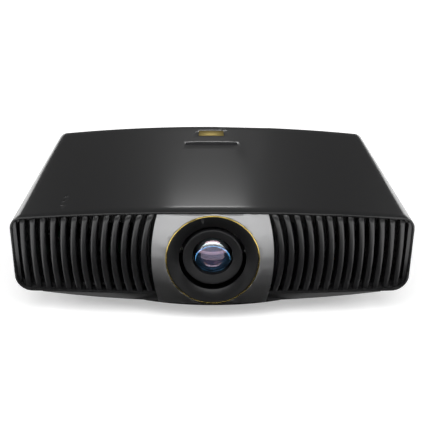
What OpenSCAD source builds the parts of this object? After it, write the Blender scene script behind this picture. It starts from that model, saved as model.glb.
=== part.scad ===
// Home cinema projector with a motorised, shifting lens.
// +X is to the right seen from the front, -Y is the front, +Z is up; the origin is on the floor, at the middle.

/* [Case] */
// Overall width of the case
case_w = 491; // [450:1:600]
// Depth from the trim ring in front to the back edge
case_d = 356; // [296:1:430]
// Height of the case from the pan to the middle of the lid
case_h = 122; // [116:1:146]
// Rise of the lid from its sides to its middle
crown = 11; // [7:1:14]
// Wall of the case mouldings
wall = 2.5; // [2:0.1:3]
// Radius of the upper side edges
edge_r = 16; // [12:1:20]
// Radius of the lower side edges
belly_r = 20; // [14:1:22]
// Height of the lower housing's side walls above the shell's underside
split_h = 24; // [22:1:30]
// Depth of the pan under the case
pan_h = 11; // [10:1:13]
// Distance from the pan's sides to the case's sides
pan_inset = 24; // [20:1:30]
// How far the lid's front edge stands back from the nose
brow_setback = 9; // [7:1:12]

/* [Front] */
// Half width of the lens panel at its widest
panel_half_w = 74.6; // [70:0.2:80]
// Outside radius of the trim ring
ring_r = 57.4; // [54:0.2:58]
// Radius of the opening around the lens
throat_r = 41.3; // [41:0.1:44]
// Depth of the dish from the trim ring to the opening
dish_depth = 6; // [4:0.5:9]
// Distance from one blade to the next
blade_pitch = 12.3; // [10:0.1:15]
// Width of one blade
blade_w = 7.6; // [5:0.1:8.4]
// Distance from the middle to the outer edge of the first blade
first_blade_x = 88; // [87:0.5:96]

/* [Lens] */
// Radius of the lens's front cell
cell_r = 36.6; // [35:0.2:37]
// Outside radius of the lens barrel
barrel_r = 33; // [31:0.5:33]
// Radius of the front glass
glass_r = 27; // [22:0.5:27]
// Gear module of the lens drives
gear_m = 0.8; // [0.8:0.1:0.9]
// Teeth on the focus and zoom rings
ring_teeth = 96; // [92:2:100]
// Teeth on the motor pinions
pinion_teeth = 16; // [14:2:18]
// Greatest lens shift up or down
shift_v = 3; // [1:0.1:3]
// Greatest lens shift to a side
shift_h = 2.2; // [1:0.1:2.5]

/* [Feet] */
// Clear height under the pan
foot_h = 23; // [21:1:30]
// Radius of a foot pad
pad_r = 15; // [12:0.5:18]
// Thread radius of the foot screws
thread_r = 4; // [3:0.5:4]
// How far a foot screws out
foot_travel = 15; // [8:1:15]

/* [Controls] */
// Radius of a round key
key_r = 5; // [4:0.5:6]
// Travel of a key
key_travel = 0.8; // [0.4:0.1:1]
// Distance between the keys of the cross
key_pitch = 14; // [13.5:0.5:16]

/* [Cooling] */
// Side of a fan frame
fan_w = 80; // [70:5:80]
// Thickness of a fan frame
fan_t = 25; // [20:1:25]
// Fan blades
fan_blades = 7; // [5:1:9]

/* [Hidden] */
$fn = 64;

big_fn = 256;     // facets of the very large circles
gap = 0.3;        // clearance between pieces that only meet
run = 0.06;       // radial clearance of a turning or sliding fit
cut = 1;          // how far a cutter passes its surface
ring_proud = 0.8; // how far the trim ring stands in front of the nose

z_pan = foot_h;
z_shell = z_pan + pan_h;
z_split = z_shell + split_h;
z_top = foot_h + case_h;
z_side = z_top - crown;
y_back = case_d / 2;
y_nose = -case_d / 2 + ring_proud;
y_brow = y_nose + brow_setback;
half_w = case_w / 2;
crown_half = half_w - edge_r;
crown_r = (crown_half * crown_half + crown * crown) / (2 * crown);
lip_r = 3000;     // plan radius of the lid's front edge
pan_front_r = 930; // plan radius of the pan's front wall
nose_r = 287;     // plan radius of the chin
y_pan = y_nose + 9.7;
pan_half = half_w - pan_inset;
chin_h = 2.4;     // thickness of the ledge under the lens panel
chin_half = 85;   // half width of that ledge
floor_z = z_pan + wall;
ledge_z = z_shell + wall;

z_belly = z_pan + 7;  // height where the lens panel stands furthest forward
face_r = 735;     // profile radius of the lens panel
face_plan_r = 450; // plan radius of the lens panel
face_t = 2.5;     // thickness of the lens panel
panel_side_r = 207; // radius of the lens panel's bowed sides
lens_z = z_pan + 60;
function face_y(z) = y_nose + pow(z - z_belly, 2) / (2 * face_r);
ring_rise = face_y(lens_z + ring_r) - face_y(lens_z - ring_r);
face_tilt = atan(ring_rise / (2 * ring_r));
y_ring = (face_y(lens_z + ring_r) + face_y(lens_z - ring_r)) / 2;
ring_w = 1.1;     // radial width of the trim ring
ring_depth = 3.1; // how deep the trim ring sits
dish_r = ring_r - ring_w - 0.2;
dish_seat = 6.8;  // depth of the dish's flange, behind the lens panel

y_carrier = y_nose + 37; // back of the front carrier
carrier_t = 3;
grille_plan_r = 2085; // plan radius of the grille's front
grille_face_r = 600;  // profile radius of the grille's front
grille_z = lens_z + 12; // height where the grille stands furthest forward
y_grille = y_nose + 5.9;
rail_t = 8;       // depth of the rails that hold the blades
rail_w = 4;       // height of those rails
blades = floor((half_w - wall - 7.4 - first_blade_x) / blade_pitch + 0.05) + 1; // in each grille
bow_first = 171;  // bow radius of the blade beside the panel
bow_last = 844;   // bow radius of the outermost blade

post_x = half_w - 17.5; // case screw posts
post_r = 5;
post_ys = [y_nose + 59, 20, y_back - 20];
screw_r = 1.5;    // case screw shank
screw_head_r = 3;
insert_xs = [-1, 1];
foot_x = half_w - 75.5;
foot_front_y = y_nose + 89;
foot_rear_y = y_back - 50;
boss_r = 11;
boss_h = 17;
insert_r = 7;
mount_dx = 220;   // hanging bracket holes, side to side
mount_dy = 170;   // hanging bracket holes, front to back
mount_hole_r = 2;
mount_y = 25;

module y_extrude(y0, y1) translate([0, y1, 0]) rotate([90, 0, 0]) linear_extrude(y1 - y0) children();
module x_extrude(x0, x1) translate([x0, 0, 0]) rotate([90, 0, 90]) linear_extrude(x1 - x0) children();
module y_cyl(x, z, r, y0, y1) translate([x, y1, z]) rotate([90, 0, 0]) cylinder(h = y1 - y0, r = r);
module x_cyl(y, z, r, x0, x1) translate([x0, y, z]) rotate([0, 90, 0]) cylinder(h = x1 - x0, r = r);
module z_cyl(x, y, r, z0, z1) translate([x, y, z0]) cylinder(h = z1 - z0, r = r);
module box(x0, x1, y0, y1, z0, z1) translate([x0, y0, z0]) cube([x1 - x0, y1 - y0, z1 - z0]);
module both_sides() { children(); mirror([1, 0, 0]) children(); }

// A slab of everything behind an upright round front: its nose at y, its plan radius r
module behind(y, r) translate([0, y + r, z_pan - cut]) cylinder(h = case_h + 2 * cut, r = r, $fn = big_fn);

// Front view of the case, shrunk by inset
module outline(inset = 0) {
    hw = half_w - inset;
    rt = edge_r - inset;
    rb = belly_r - inset;
    zb = z_shell + inset;
    zs = z_side - inset;
    intersection() {
        union() {
            translate([-hw, zb + rb]) square([2 * hw, zs - rt - zb - rb]);
            translate([-(hw - rt), zb + rb]) square([2 * (hw - rt), z_top - zb - rb]);
            translate([-(hw - rb), zb]) square([2 * (hw - rb), zs - rt - zb]);
            for (s = [-1, 1]) {
                translate([s * (hw - rt), zs - rt]) circle(r = rt);
                translate([s * (hw - rb), zb + rb]) circle(r = rb);
            }
        }
        translate([0, z_top - crown_r]) circle(r = crown_r - inset, $fn = big_fn);
    }
}

module above(z) translate([-case_w, z]) square([2 * case_w, case_h]);
module below(z) translate([-case_w, z - case_h]) square([2 * case_w, case_h]);

// ---- casing ----

keypad_y = y_back - 73; // middle of the key cross
keypad_z = 92;
end_key = 2.4 * key_pitch;
keypad_len = 2 * (end_key + key_r + 5);
keypad_h = 2 * (key_pitch + key_r + 3);
vent_ys = [for (i = [0:11]) y_carrier + 28 + i * 9];
vent_w = 4;
vent_h = 34;
vent_z = 70;
badge_w = 39;
badge_l = 26;
badge_y = y_back - 35;
badge_t = 0.8;
window_w = 78;
window_l = 12;
window_y = y_back - 87;
window_t = 1.6;
light_x = 59.5 - half_w;
light_ys = [y_nose + 46, y_nose + 60, y_nose + 74];
light_r = 1.5;
function crown_z(x, inset = 0) = z_top - crown_r + sqrt(pow(crown_r - inset, 2) - x * x);

module top_cover() {
    color("#26262a") difference() {
        intersection() {
            union() {
                y_extrude(y_nose, y_back) intersection() {
                    difference() { outline(); outline(wall); }
                    above(z_split);
                }
                intersection() {
                    both_sides() for (y = post_ys) z_cyl(post_x, y, post_r, z_split, z_top);
                    y_extrude(y_nose, y_back) outline(wall / 2);
                }
            }
            behind(y_brow, lip_r);
        }
        both_sides() for (y = post_ys) z_cyl(post_x, y, screw_r - 0.2, z_split - cut, z_split + 14);
        box(half_w - 2 * wall, half_w + cut, keypad_y - keypad_len / 2, keypad_y + keypad_len / 2,
            keypad_z - keypad_h / 2, keypad_z + keypad_h / 2);
        for (y = vent_ys) box(-half_w - cut, half_w + cut, y, y + vent_w, vent_z, vent_z + vent_h);
        box(-badge_w / 2, badge_w / 2, badge_y - badge_l / 2, badge_y + badge_l / 2,
            crown_z(badge_w / 2) - badge_t, z_top + cut);
        box(-window_w / 2, window_w / 2, window_y - window_l / 2, window_y + window_l / 2,
            z_top - 2 * wall, z_top + cut);
        for (y = light_ys) z_cyl(light_x, y, light_r + gap / 2, z_side - 2 * wall, z_top);
    }
}

module pan_outline(inset = 0) {
    polygon([[-(pan_half - pan_h / 2 - inset), z_pan + inset], [pan_half - pan_h / 2 - inset, z_pan + inset],
        [pan_half - inset, z_shell + wall], [-(pan_half - inset), z_shell + wall]]);
}

module foot_places() for (s = [-1, 1], y = [foot_front_y, foot_rear_y]) translate([s * foot_x, y, 0]) children();
module mount_places() for (s = [-1, 1], t = [-1, 1])
    translate([s * mount_dx / 2, mount_y + t * mount_dy / 2, 0]) children();

module lower_housing() {
    color("#1b1b1e") difference() {
        union() {
            difference() {
                union() {
                    intersection() {
                        y_extrude(y_nose, y_back) intersection() { outline(); below(z_split); }
                        behind(y_brow, lip_r);
                    }
                    intersection() {
                        y_extrude(y_nose, y_back) pan_outline();
                        behind(y_pan, pan_front_r);
                    }
                    intersection() {
                        box(-chin_half, chin_half, y_nose, y_pan + 12, z_pan, z_pan + chin_h);
                        behind(y_nose, nose_r);
                    }
                }
                y_extrude(y_nose - cut, y_back + cut) outline(wall);
                intersection() {
                    y_extrude(y_nose, y_back - wall) pan_outline(wall);
                    behind(y_pan + wall, pan_front_r - wall);
                    box(-pan_half, pan_half, y_nose, y_back, floor_z, ledge_z + cut);
                }
            }
            both_sides() for (y = post_ys) z_cyl(post_x, y, post_r, ledge_z - cut, z_split);
            foot_places() translate([0, 0, floor_z - cut]) cylinder(h = boss_h + cut, r = boss_r);
            mount_places() translate([0, 0, floor_z - cut]) cylinder(h = 10 + cut, r = 5.5);
            for (x = board_posts_x, y = board_posts_y) z_cyl(x, y, 3.5, floor_z - cut, board_z);
            for (x = supply_posts_x, y = supply_posts_y) z_cyl(x, y, 3.5, floor_z - cut, supply_z);
            for (x = base_posts_x, y = base_posts_y) z_cyl(x, y, 6, floor_z - cut, base_z);
        }
        both_sides() for (y = post_ys) {
            z_cyl(post_x, y, screw_r + gap / 2, z_shell - cut, z_split + cut);
            z_cyl(post_x, y, screw_head_r + gap, z_shell - cut, z_shell + 4);
        }
        foot_places() translate([0, 0, z_pan - cut]) cylinder(h = boss_h + 2 * wall + cut, r = insert_r + run);
        mount_places() translate([0, 0, z_pan - cut]) cylinder(h = 11 + cut, r = mount_hole_r);
        intersection() {
            on_ring() cylinder(h = dish_seat + 2 + gap, r = dish_r + 2.6 + gap);
            box(-half_w, half_w, y_nose - cut, y_carrier, z_pan + chin_h, z_split);
        }
    }
}

inlet_x = 55.5 - half_w;
inlet_z = 64;
inlet_w = 27;
inlet_h = 20;
rear_vent_xs = [for (i = [0:12]) half_w - 115.5 + i * 7];

module rear_panel() {
    color("#202023") difference() {
        y_extrude(y_back - wall - 3, y_back - 3) union() {
            outline(wall + gap);
            intersection() { pan_outline(wall + gap); below(z_shell + wall + cut); above(z_pan + wall + gap); }
        }
        box(inlet_x - inlet_w / 2 - gap, inlet_x + inlet_w / 2 + gap, 0, y_back,
            inlet_z - inlet_h / 2 - gap, inlet_z + inlet_h / 2 + gap);
        for (p = ports) box(p[0] - p[1] / 2 - gap, p[0] + p[1] / 2 + gap, 0, y_back,
            board_top, board_top + p[2] + gap);
        for (x = rear_vent_xs) box(x, x + 3.5, 0, y_back, 50, 112);
    }
}

module front_carrier() {
    color("#161618") difference() {
        y_extrude(y_carrier - carrier_t, y_carrier) difference() {
            outline(wall + gap);
            translate([-62, lens_z - 46]) square([124, 88]);
            for (s = [-1, 1]) translate([s * (fan_x - 16) - 62, z_shell + 12])
                square([124, z_side - z_shell - 26]);
        }
    }
}

// The grille's bowed blades, seen from the front, on the right-hand side
module blade_outline(i) {
    bend = 1 / bow_first + (1 / bow_last - 1 / bow_first) * i / (blades - 1);
    r = 1 / bend;
    x = first_blade_x + i * blade_pitch;
    intersection() {
        translate([x - r, lens_z]) difference() { circle(r = r, $fn = big_fn); circle(r = r - blade_w, $fn = big_fn); }
        translate([0, z_shell]) square([half_w, case_h]);
    }
}

module panel_outline(grow = 0) intersection() {
    intersection_for (s = [-1, 1]) translate([s * (panel_side_r - panel_half_w), lens_z])
        circle(r = panel_side_r + grow, $fn = big_fn);
    translate([-half_w, z_pan + chin_h + gap]) square([case_w, case_h]);
    outline_below_crown();
}

module outline_below_crown() translate([0, z_top - crown_r]) circle(r = crown_r - wall - gap, $fn = big_fn);

// Everything behind a front that is round in plan and in profile
module rounded_front(y, plan_r, profile_r, z, depth) {
    translate([0, y + plan_r, 0]) rotate([0, 0, 180]) rotate_extrude($fn = big_fn) intersection() {
        translate([plan_r - profile_r, z]) difference() {
            circle(r = profile_r, $fn = big_fn);
            circle(r = profile_r - depth, $fn = big_fn);
        }
        translate([plan_r - case_h / 2, z_pan - cut]) square([case_h / 2 + cut, case_h + 2 * cut]);
    }
}

module grille() {
    color("#141416") intersection() {
        y_extrude(y_nose, y_carrier - carrier_t) difference() {
            intersection() { outline(wall + gap); above(ledge_z + gap); }
            panel_outline(4);
            translate([-half_w - cut, 0]) square([half_w + cut, 2 * case_h]);
        }
        union() {
            intersection() {
                rounded_front(y_grille, grille_plan_r, grille_face_r, grille_z, 45);
                y_extrude(y_nose, y_carrier - carrier_t) union() {
                    for (i = [0:blades - 1]) blade_outline(i);
                    translate([half_w - wall - 5, z_shell]) square([5, case_h]);
                }
            }
            y_extrude(y_carrier - carrier_t - rail_t, y_carrier - carrier_t) difference() {
                translate([0, z_pan]) square([half_w, case_h]);
                difference() {
                    outline(wall + gap + rail_w);
                    panel_outline(4 + rail_w);
                }
            }
        }
    }
}
module right_grille() grille();
module left_grille() mirror([1, 0, 0]) grille();

// Places things in the tilted plane of the trim ring: x right, y up, z into the case
module on_ring() translate([0, y_ring, lens_z]) rotate([-90 - face_tilt, 0, 0]) children();

module lens_fascia() {
    color("#8f9092") difference() {
        union() {
            intersection() {
                rounded_front(y_nose, face_plan_r, face_r, z_belly, face_t);
                y_extrude(y_nose - cut, y_nose + 20) panel_outline();
            }
            for (s = [-1, 1], z = [lens_z - 43, lens_z + 35])
                y_cyl(s * 64, z, 3, face_y(z) + 6.2, y_carrier - carrier_t);
        }
        on_ring() translate([0, 0, -8]) cylinder(h = 30, r = ring_r + 0.1);
    }
}

module trim_ring() {
    color("#c8b25a") intersection() {
        rounded_front(y_nose - ring_proud, face_plan_r + ring_proud, face_r + ring_proud, z_belly,
            ring_depth + ring_proud);
        on_ring() translate([0, 0, -10]) difference() {
            cylinder(h = 30, r = ring_r);
            translate([0, 0, -cut]) cylinder(h = 30 + 2 * cut, r = ring_r - ring_w);
        }
    }
}

module lens_dish() {
    color("#0d0d0e") intersection() {
        on_ring() rotate_extrude() polygon([[throat_r, dish_depth], [dish_r, 0], [dish_r, dish_seat],
            [dish_r + 2.6, dish_seat], [dish_r + 2.6, dish_seat + 2], [throat_r, dish_seat + 2]]);
        rounded_front(y_nose, face_plan_r, face_r, z_belly, 40);
        box(-half_w, half_w, y_nose - cut, y_carrier, z_pan + chin_h + gap, z_top);
    }
}

module badge_plate() {
    color("#9c8652") intersection() {
        box(-badge_w / 2 + 0.1, badge_w / 2 - 0.1, badge_y - badge_l / 2 + 0.1, badge_y + badge_l / 2 - 0.1,
            crown_z(badge_w / 2) - badge_t, z_top);
        y_extrude(y_nose, y_back) outline();
    }
}

module receiver_windows() {
    color("#08080a") {
        intersection() {
            box(-window_w / 2 + 0.1, window_w / 2 - 0.1, window_y - window_l / 2 + 0.1,
                window_y + window_l / 2 - 0.1, z_top - 2 * wall, z_top);
            y_extrude(y_nose, y_back) difference() { outline(0.1); outline(wall); }
        }
    }
}

module status_lights() {
    color("#d8d8d0") for (y = light_ys) z_cyl(light_x, y, light_r, crown_z(light_x) - wall - 3, crown_z(light_x) - 0.6);
}

// ---- keypad ----

plate_x = half_w - 1.5; // outer face of the keypad plate
plate_t = 2;
key_board_x = plate_x - 7; // front of the switch board behind the keys
key_places = [["power", [-end_key, 0]], ["menu", [end_key, 0]], ["ok", [0, 0]], ["up", [0, key_pitch]],
    ["down", [0, -key_pitch]], ["left", [-key_pitch, 0]], ["right", [key_pitch, 0]]];

module keypad_frame() {
    color("#101012") difference() {
        union() {
            box(plate_x - plate_t, plate_x, keypad_y - keypad_len / 2 + gap, keypad_y + keypad_len / 2 - gap,
                keypad_z - keypad_h / 2 + gap, keypad_z + keypad_h / 2 - gap);
            box(half_w - wall - gap - 2, half_w - wall - gap, keypad_y - keypad_len / 2 - 4,
                keypad_y + keypad_len / 2 + 4, keypad_z - keypad_h / 2 - 4, keypad_z + keypad_h / 2 + 4);
            for (s = [-1, 1], t = [-1, 1]) x_cyl(keypad_y + s * (keypad_len / 2 + 1),
                keypad_z + t * (keypad_h / 2 + 1), 2.2, key_board_x, half_w - wall - gap - 1);
            box(key_board_x - 1.6, key_board_x, keypad_y - keypad_len / 2 - 3, keypad_y + keypad_len / 2 + 3,
                keypad_z - keypad_h / 2 - 3, keypad_z + keypad_h / 2 + 3);
        }
        for (k = key_places) x_cyl(keypad_y + k[1][0], keypad_z + k[1][1], key_r + gap, plate_x - 3, plate_x + cut);
        box(half_w - wall - gap - 3, plate_x - plate_t, keypad_y - keypad_len / 2 + 1.5,
            keypad_y + keypad_len / 2 - 1.5, keypad_z - keypad_h / 2 + 1.5, keypad_z + keypad_h / 2 - 1.5);
    }
}

module key(i) {
    y = keypad_y + key_places[i][1][0];
    z = keypad_z + key_places[i][1][1];
    color("#3a3a3e") {
        x_cyl(y, z, key_r, plate_x - plate_t - gap - 1, half_w - 0.5);
        x_cyl(y, z, key_r + 1.2, plate_x - plate_t - gap - 1.2, plate_x - plate_t - gap);
    }
}
module power_key() key(0);
module menu_key() key(1);
module ok_key() key(2);
module up_key() key(3);
module down_key() key(4);
module left_key() key(5);
module right_key() key(6);

// ---- feet ----

pad_h = 8;
pad_socket_h = 4;
wheel_r = pad_r - 2.5;
wheel_top = z_pan - gap;
wheel_knurls = 24;
stud_len = 30;
pin_r = 3;

module foot_pad(x, y) {
    color("#151515") translate([x, y, 0]) difference() {
        union() {
            cylinder(h = pad_h - 1, r = pad_r);
            cylinder(h = pad_h, r = pad_r - 1);
        }
        translate([0, 0, pad_h - pad_socket_h]) cylinder(h = pad_socket_h + cut, r = pin_r + run);
    }
}

module foot_screw(x, y) {
    color("#808285") translate([x, y, 0]) {
        translate([0, 0, pad_h - pad_socket_h + gap]) cylinder(h = pad_socket_h + gap, r = pin_r);
        difference() {
            translate([0, 0, pad_h + gap]) cylinder(h = wheel_top - pad_h - gap, r = wheel_r);
            for (i = [0:wheel_knurls - 1]) rotate([0, 0, i * 360 / wheel_knurls])
                translate([wheel_r + 0.4, 0, pad_h]) cylinder(h = wheel_top, r = 0.9, $fn = 16);
        }
        translate([0, 0, wheel_top - cut]) cylinder(h = stud_len + cut, r = thread_r);
    }
}
module left_foot_pad() foot_pad(-foot_x, foot_front_y);
module right_foot_pad() foot_pad(foot_x, foot_front_y);
module left_foot_screw() foot_screw(-foot_x, foot_front_y);
module right_foot_screw() foot_screw(foot_x, foot_front_y);

module rear_feet() {
    color("#151515") for (s = [-1, 1]) translate([s * foot_x, foot_rear_y, 0]) {
        cylinder(h = z_pan - gap, r1 = pad_r - 1, r2 = pad_r + 1);
        cylinder(h = z_pan + 8, r = thread_r);
    }
}

module foot_inserts() {
    color("#b08d3c") foot_places() difference() {
        translate([0, 0, z_pan + 0.2]) cylinder(h = boss_h + wall - 0.2, r = insert_r);
        cylinder(h = z_split, r = thread_r + run);
    }
}

// ---- lens ----

y_lens = y_ring + dish_depth + 1.5; // front rim of the lens
barrel_in_r = barrel_r - 4;
focus_y = y_lens + 30;
zoom_y = focus_y + 18;
gear_w = 10;
ring_pitch_r = gear_m * ring_teeth / 2;
pinion_pitch_r = gear_m * pinion_teeth / 2;
motor_x = ring_pitch_r + pinion_pitch_r;
pressure = 20;    // pressure angle of the gears, in degrees
backlash = 0.12;  // taken off each tooth's thickness at the pitch circle

function involute(a) = tan(a) * 180 / PI - a;
function flank(r, n) = 90 / n - backlash / (gear_m * n) * 180 / PI
    + involute(pressure) - involute(acos(min(1, gear_m * n / 2 * cos(pressure) / r)));

// An involute gear with one tooth on +X
module gear_outline(n, addendum) {
    pitch_r = gear_m * n / 2;
    root = pitch_r - 1.25 * gear_m;
    start = max(root, pitch_r * cos(pressure) + 0.01);
    tip = pitch_r + addendum;
    rs = [start, (2 * start + tip) / 3, (start + 2 * tip) / 3, tip];
    polygon([for (k = [0:n - 1]) each [
        let (a = k * 360 / n - flank(start, n)) root * [cos(a), sin(a)],
        for (r = rs) let (a = k * 360 / n - flank(r, n)) r * [cos(a), sin(a)],
        for (j = [3:-1:0]) let (a = k * 360 / n + flank(rs[j], n)) rs[j] * [cos(a), sin(a)],
        let (a = k * 360 / n + flank(start, n)) root * [cos(a), sin(a)]]]);
}

module along_y(x, y) translate([x, y, lens_z]) rotate([90, 0, 0]) children();

barrel_y0 = y_lens + 16;
barrel_y1 = y_lens + 128;
bracket_y = focus_y + gear_w + 1.5;
bracket_t = 4;
stage_t = 8;
h_stage_y = y_lens + 100;
v_stage_y = h_stage_y + stage_t + 4;
base_wall_y = v_stage_y + stage_t + 4;
base_wall_t = 6;

module lens_barrel() {
    color("#1a1a1c") difference() {
        union() {
            y_cyl(0, lens_z, barrel_r, barrel_y0, barrel_y1);
            y_extrude(bracket_y, bracket_y + bracket_t) union() {
                translate([0, lens_z]) circle(r = barrel_r + 3);
                translate([-motor_x, lens_z - 10]) square([2 * motor_x, 20]);
                for (s = [-1, 1]) translate([s * motor_x, lens_z]) circle(r = 10);
            }
            y_cyl(0, lens_z, barrel_r + 6, h_stage_y + stage_t, h_stage_y + stage_t + 2.5);
        }
        y_cyl(0, lens_z, barrel_in_r, barrel_y0 - cut, barrel_y1 - 4);
        y_cyl(0, lens_z, 20, 0, barrel_y1 + cut);
        y_cyl(0, lens_z, 20, barrel_y0, barrel_y1 + cut);
        for (s = [-1, 1]) y_cyl(s * motor_x, lens_z, 3, bracket_y - cut, bracket_y + bracket_t + cut);
    }
}

module focus_cell() {
    color("#101011") difference() {
        y_cyl(0, lens_z, cell_r, y_lens, y_lens + 26);
        y_cyl(0, lens_z, barrel_r + run, y_lens + 14, y_lens + 27);
        y_cyl(0, lens_z, glass_r - 2, y_lens - cut, y_lens + 15);
        y_cyl(0, lens_z, glass_r + 0.1, y_lens + 3, y_lens + 15);
        translate([0, y_lens + 3, lens_z]) rotate([90, 0, 0]) cylinder(h = 3 + 0.01, r1 = glass_r - 2, r2 = cell_r - 2);
    }
}

module front_glass() {
    color("#5f7fae") intersection() {
        y_cyl(0, lens_z, glass_r, y_lens + 3, y_lens + 12);
        translate([0, y_lens + 3 + 70, lens_z]) sphere(r = 70 + 1.2, $fn = 128);
    }
}

module drive_ring(y) {
    color("#2c2c30") difference() {
        along_y(0, y + gear_w) linear_extrude(gear_w) gear_outline(ring_teeth, 0.7 * gear_m);
        y_cyl(0, lens_z, barrel_r + run, y - cut, y + gear_w + cut);
    }
}
module focus_ring() drive_ring(focus_y);
module zoom_ring() drive_ring(zoom_y);

module zoom_cell() {
    color("#303034") difference() {
        y_cyl(0, lens_z, barrel_in_r - run, zoom_y, zoom_y + 22);
        y_cyl(0, lens_z, barrel_in_r - 5, zoom_y - cut, zoom_y + 6);
        y_cyl(0, lens_z, barrel_in_r - 5, zoom_y + 14, zoom_y + 23);
    }
}

module pinion(x, y) {
    color("#d8d4c4") along_y(x, y + gear_w) rotate([0, 0, 180 / pinion_teeth]) difference() {
        linear_extrude(gear_w) gear_outline(pinion_teeth, gear_m);
        translate([0, 0, -cut]) cylinder(h = gear_w + 2 * cut, r = 1 + run);
    }
}
module focus_pinion() pinion(-motor_x, focus_y);
module zoom_pinion() pinion(motor_x, zoom_y);

motor_r = 5;
module focus_motor() {
    color("#9a9a9c") {
        y_cyl(-motor_x, lens_z, motor_r, bracket_y + bracket_t, bracket_y + bracket_t + 22);
        y_cyl(-motor_x, lens_z, 1, focus_y, bracket_y + bracket_t + cut);
        y_cyl(-motor_x, lens_z, 3 - run, bracket_y, bracket_y + bracket_t + cut);
    }
}
module zoom_motor() {
    color("#9a9a9c") {
        y_cyl(motor_x, lens_z, motor_r, bracket_y - 22, bracket_y);
        y_cyl(motor_x, lens_z, 1, bracket_y - cut, zoom_y + gear_w);
        y_cyl(motor_x, lens_z, 3 - run, bracket_y - cut, bracket_y + bracket_t);
    }
}

// ---- lens shift ----

rod_r = 2;
v_rod_x = 54;
h_rod_dz = 38;
v_half = 47;
h_half = 42;
v_rod_y = v_stage_y + stage_t / 2;
h_rod_y = h_stage_y + stage_t / 2;
v_ear = 5;
v_screw_x = 68;
h_screw_z = lens_z + h_half + 5;
lead_r = 2;

module vertical_rods() {
    color("#c4c6c8") for (s = [-1, 1])
        z_cyl(s * v_rod_x, v_rod_y, rod_r, lens_z - v_half - shift_v - 1 - v_ear, lens_z + v_half + shift_v + 1 + v_ear);
}

module vertical_stage() {
    color("#6d6f73") difference() {
        union() {
            box(-60, 60, v_stage_y, v_stage_y + stage_t, lens_z - v_half, lens_z + v_half);
            for (s = [-1, 1], t = [-1, 1])
                box(s * 55 - 5, s * 55 + 5, h_stage_y, v_stage_y + cut,
                    lens_z + t * h_rod_dz - 5, lens_z + t * h_rod_dz + 5);
            box(58, v_screw_x + 6, v_stage_y, v_stage_y + stage_t, lens_z - 8, lens_z + 8);
        }
        y_cyl(0, lens_z, barrel_r + 7 + shift_h, v_stage_y - cut, v_stage_y + stage_t + cut);
        for (s = [-1, 1]) z_cyl(s * v_rod_x, v_rod_y, rod_r + run, 0, z_top);
        for (t = [-1, 1]) x_cyl(h_rod_y, lens_z + t * h_rod_dz, rod_r, -62, 62);
        z_cyl(v_screw_x, v_rod_y, lead_r + run, 0, z_top);
    }
}

module horizontal_rods() {
    color("#c4c6c8") for (t = [-1, 1]) x_cyl(h_rod_y, lens_z + t * h_rod_dz, rod_r, -60, 60);
}

module horizontal_stage() {
    color("#7c7e82") difference() {
        union() {
            box(-h_half, h_half, h_stage_y, h_stage_y + stage_t, lens_z - h_half, lens_z + h_half);
            box(-8, 8, h_stage_y, h_stage_y + stage_t, lens_z + h_half - cut, h_screw_z + 4);
        }
        y_cyl(0, lens_z, barrel_r + run, h_stage_y - cut, h_stage_y + stage_t + cut);
        for (t = [-1, 1]) x_cyl(h_rod_y, lens_z + t * h_rod_dz, rod_r + run, -62, 62);
        x_cyl(h_rod_y, h_screw_z, lead_r + run, -62, 62);
    }
}

base_t = 5;       // thickness of the engine's base plate
base_z = floor_z + 2.5;
v_motor_z = base_z + base_t;
v_motor_h = 18;
module vertical_motor() {
    color("#3a3a3c") difference() {
        box(v_screw_x - 7.5, v_screw_x + 7.5, v_rod_y - 7.5, v_rod_y + 7.5, v_motor_z, v_motor_z + v_motor_h);
        z_cyl(v_screw_x, v_rod_y, lead_r + run, v_motor_z + 4, v_motor_z + v_motor_h + cut);
    }
}
module vertical_screw() color("#b9bbbd") z_cyl(v_screw_x, v_rod_y, lead_r, v_motor_z + 4 + gap, lens_z + 30);

module horizontal_motor() {
    color("#3a3a3c") difference() {
        box(-66, -50.3, h_rod_y - 5.5, h_rod_y + 5.5, lens_z + h_rod_dz + 5, h_screw_z + 5.5);
        x_cyl(h_rod_y, h_screw_z, lead_r + run, -62, -40);
    }
}
module horizontal_screw() color("#b9bbbd") x_cyl(h_rod_y, h_screw_z, lead_r, -61.7, 30);

base_x0 = -70;
base_x1 = 200;
base_y1 = base_wall_y + 110;
base_posts_x = [-60, 190];
base_posts_y = [base_wall_y + 10, base_wall_y + 100];

module engine_base() {
    z_ear = lens_z - v_half - shift_v - 1;
    z_ear_top = lens_z + v_half + shift_v + 1;
    color("#5b5d60") difference() {
        union() {
            box(base_x0, base_x1, base_wall_y, base_y1, base_z, base_z + base_t);
            box(v_screw_x - 10, v_screw_x + 10, v_rod_y - 10, base_wall_y + cut, base_z, base_z + base_t);
            box(base_x0, 62, base_wall_y, base_wall_y + base_wall_t, base_z, z_ear_top + v_ear);
            for (s = [-1, 1]) {
                box(s * v_rod_x - 6, s * v_rod_x + 6, v_rod_y - 5, base_wall_y + cut, base_z, z_ear);
                box(s * v_rod_x - 6, s * v_rod_x + 6, v_rod_y - 5, base_wall_y + cut, z_ear_top, z_ear_top + v_ear);
            }
        }
        y_cyl(0, lens_z, barrel_r + 7, base_wall_y - cut, base_wall_y + base_wall_t + cut);
        for (s = [-1, 1]) z_cyl(s * v_rod_x, v_rod_y, rod_r, z_ear - v_ear, z_top);
    }
}

// ---- light engine ----

engine_y0 = base_wall_y + base_wall_t;
engine_y1 = engine_y0 + 62;
engine_z0 = base_z + base_t;
engine_z1 = lens_z + 34;
engine_wall = 4;
beam_x = 66;      // right-hand face of the engine housing

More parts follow.
